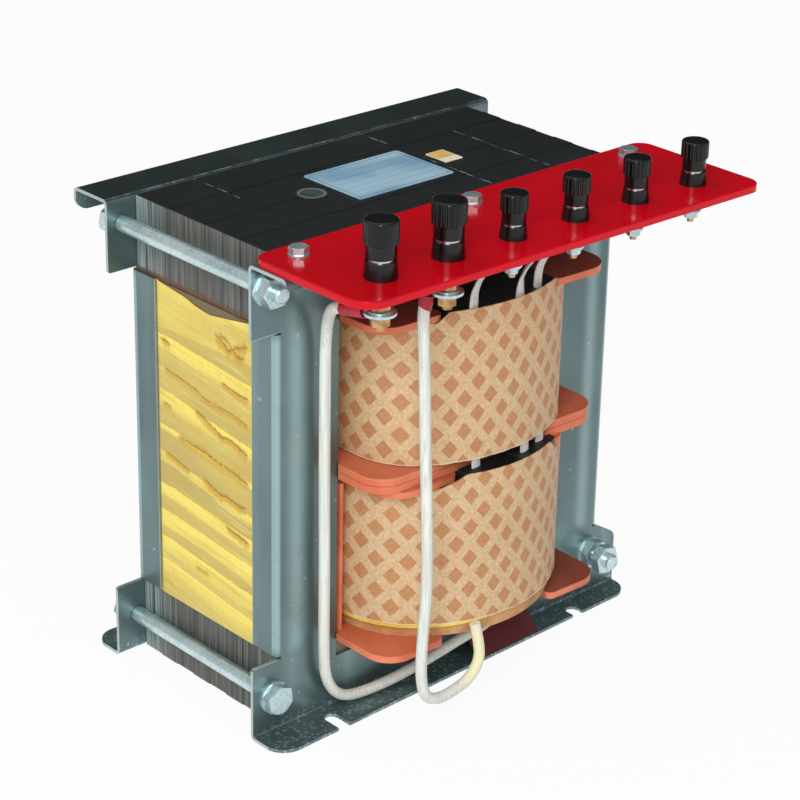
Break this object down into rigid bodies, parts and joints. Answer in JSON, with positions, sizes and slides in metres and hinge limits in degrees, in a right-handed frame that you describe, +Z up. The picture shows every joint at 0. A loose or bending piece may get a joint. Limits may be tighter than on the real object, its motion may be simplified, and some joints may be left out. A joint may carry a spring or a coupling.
{
  "type": "uv lamp transformer",
  "caption": "Open-frame ballast transformer for an ultraviolet lamp: laminated core, two wrapped coils, pressed side frames and a terminal board with binding posts.",
  "frame": {"origin": "in the middle of the four foot slots, on the surface that the feet stand on", "axes": "+X to the right as the terminal board is faced, +Y to the back, +Z up"},
  "size_m": [0.31, 0.2884, 0.3383],
  "materials": {
    "zinc_sheet": "zinc-plated sheet with a faint spangle, satin",
    "core_varnish": "varnished iron strips, satin, with fine strip lines",
    "yellow_tape": "yellow tape with creases, half gloss",
    "bright_zinc": "bright zinc plate",
    "brass": "plain brass, satin",
    "washer_nickel": "nickel plate",
    "post_black": "black moulded plastic, half gloss",
    "board_red": "glossy red laminate",
    "fibre_plate": "red-brown laminate, satin",
    "diamond_paper": "tan paper with a lattice of darker diamonds",
    "yellow_paper": "plain yellow paper",
    "tan_board": "plain pressed board",
    "black_tape": "black cloth tape",
    "white_sleeve": "white woven sleeve, matt",
    "boot_red": "dark red soft boot",
    "rating_blue": "pale blue film",
    "sticker_green": "silvery green film",
    "sticker_amber": "amber and white film",
    "maroon_film": "dark red sheet"
  },
  "bodies": {
    "transformer": {"board_bolts": "bright_zinc", "board_nuts": "bright_zinc", "board_washers": "bright_zinc", "bottom_flange_plate": "fibre_plate", "bottom_yoke_strips": "core_varnish", "centre_leg_strips": "core_varnish", "foot_insulation": "maroon_film", "front_frame": "zinc_sheet", "large_post_bases": "post_black", "large_post_studs": "brass", "lead_boots": "boot_red", "lead_lugs": "bright_zinc", "left_leg_strips": "core_varnish", "left_leg_tape": "yellow_tape", "long_lead_left": "white_sleeve", "long_lead_right": "white_sleeve", "lower_coil_upper_plate": "fibre_plate", "lower_paper_wrap": "diamond_paper", "lower_tan_wrap": "tan_board", "lower_winding": "black_tape", "lower_yellow_wrap": "yellow_paper", "middle_spacer_plate": "fibre_plate", "post_nuts_large": "brass", "post_nuts_small": "bright_zinc", "post_rings": "bright_zinc", "post_under_washers": "bright_zinc", "rating_plate": "rating_blue", "rear_frame": "zinc_sheet", "right_leg_strips": "core_varnish", "right_leg_tape": "yellow_tape", "round_sticker": "sticker_green", "side_strips": "fibre_plate", "small_post_bases": "post_black", "small_post_studs": "brass", "small_sticker": "sticker_amber", "tap_lead_1": "white_sleeve", "tap_lead_2": "white_sleeve", "tap_lead_3": "white_sleeve", "terminal_board": "board_red", "tie_bolt_nuts": "bright_zinc", "tie_bolt_washers": "bright_zinc", "tie_bolts": "bright_zinc", "top_flange_plate": "fibre_plate", "top_yoke_strips": "core_varnish", "upper_coil_lower_plate": "fibre_plate", "upper_paper_wrap": "diamond_paper", "upper_winding": "black_tape", "winding_tube": "tan_board"},
    "post_1_washer": {"post_1_washer": "washer_nickel"},
    "post_1_cap": {"post_1_cap": "post_black"},
    "post_2_washer": {"post_2_washer": "washer_nickel"},
    "post_2_cap": {"post_2_cap": "post_black"},
    "post_3_washer": {"post_3_washer": "washer_nickel"},
    "post_3_cap": {"post_3_cap": "post_black"},
    "post_4_washer": {"post_4_washer": "washer_nickel"},
    "post_4_cap": {"post_4_cap": "post_black"},
    "post_5_washer": {"post_5_washer": "washer_nickel"},
    "post_5_cap": {"post_5_cap": "post_black"},
    "post_6_washer": {"post_6_washer": "washer_nickel"},
    "post_6_cap": {"post_6_cap": "post_black"}
  },
  "joints": [
    {"name": "post_1_lift", "type": "slide", "parent": "transformer", "child": "post_1_washer", "axis": [0, 0, 1], "range_m": [0, 0.004]},
    {"name": "post_1_turn", "type": "hinge", "parent": "post_1_washer", "child": "post_1_cap", "pos_m": [-0.1172, -0.1324, 0.3145], "axis": [0, 0, 1], "range_deg": [0, 1440]},
    {"name": "post_2_lift", "type": "slide", "parent": "transformer", "child": "post_2_washer", "axis": [0, 0, 1], "range_m": [0, 0.004]},
    {"name": "post_2_turn", "type": "hinge", "parent": "post_2_washer", "child": "post_2_cap", "pos_m": [-0.069, -0.1335, 0.3145], "axis": [0, 0, 1], "range_deg": [0, 1440]},
    {"name": "post_3_lift", "type": "slide", "parent": "transformer", "child": "post_3_washer", "axis": [0, 0, 1], "range_m": [0, 0.0028]},
    {"name": "post_3_turn", "type": "hinge", "parent": "post_3_washer", "child": "post_3_cap", "pos_m": [-0.0208, -0.1346, 0.3124], "axis": [0, 0, 1], "range_deg": [0, 1440]},
    {"name": "post_4_lift", "type": "slide", "parent": "transformer", "child": "post_4_washer", "axis": [0, 0, 1], "range_m": [0, 0.0028]},
    {"name": "post_4_turn", "type": "hinge", "parent": "post_4_washer", "child": "post_4_cap", "pos_m": [0.0274, -0.1357, 0.3124], "axis": [0, 0, 1], "range_deg": [0, 1440]},
    {"name": "post_5_lift", "type": "slide", "parent": "transformer", "child": "post_5_washer", "axis": [0, 0, 1], "range_m": [0, 0.0028]},
    {"name": "post_5_turn", "type": "hinge", "parent": "post_5_washer", "child": "post_5_cap", "pos_m": [0.0756, -0.1368, 0.3124], "axis": [0, 0, 1], "range_deg": [0, 1440]},
    {"name": "post_6_lift", "type": "slide", "parent": "transformer", "child": "post_6_washer", "axis": [0, 0, 1], "range_m": [0, 0.0028]},
    {"name": "post_6_turn", "type": "hinge", "parent": "post_6_washer", "child": "post_6_cap", "pos_m": [0.1238, -0.1379, 0.3124], "axis": [0, 0, 1], "range_deg": [0, 1440]}
  ],
  "couplings": [
    {"joint": "post_1_lift", "follows": "post_1_turn", "m_per_rad": 0.00015915},
    {"joint": "post_2_lift", "follows": "post_2_turn", "m_per_rad": 0.00015915},
    {"joint": "post_3_lift", "follows": "post_3_turn", "m_per_rad": 0.0001114},
    {"joint": "post_4_lift", "follows": "post_4_turn", "m_per_rad": 0.0001114},
    {"joint": "post_5_lift", "follows": "post_5_turn", "m_per_rad": 0.0001114},
    {"joint": "post_6_lift", "follows": "post_6_turn", "m_per_rad": 0.0001114}
  ]
}
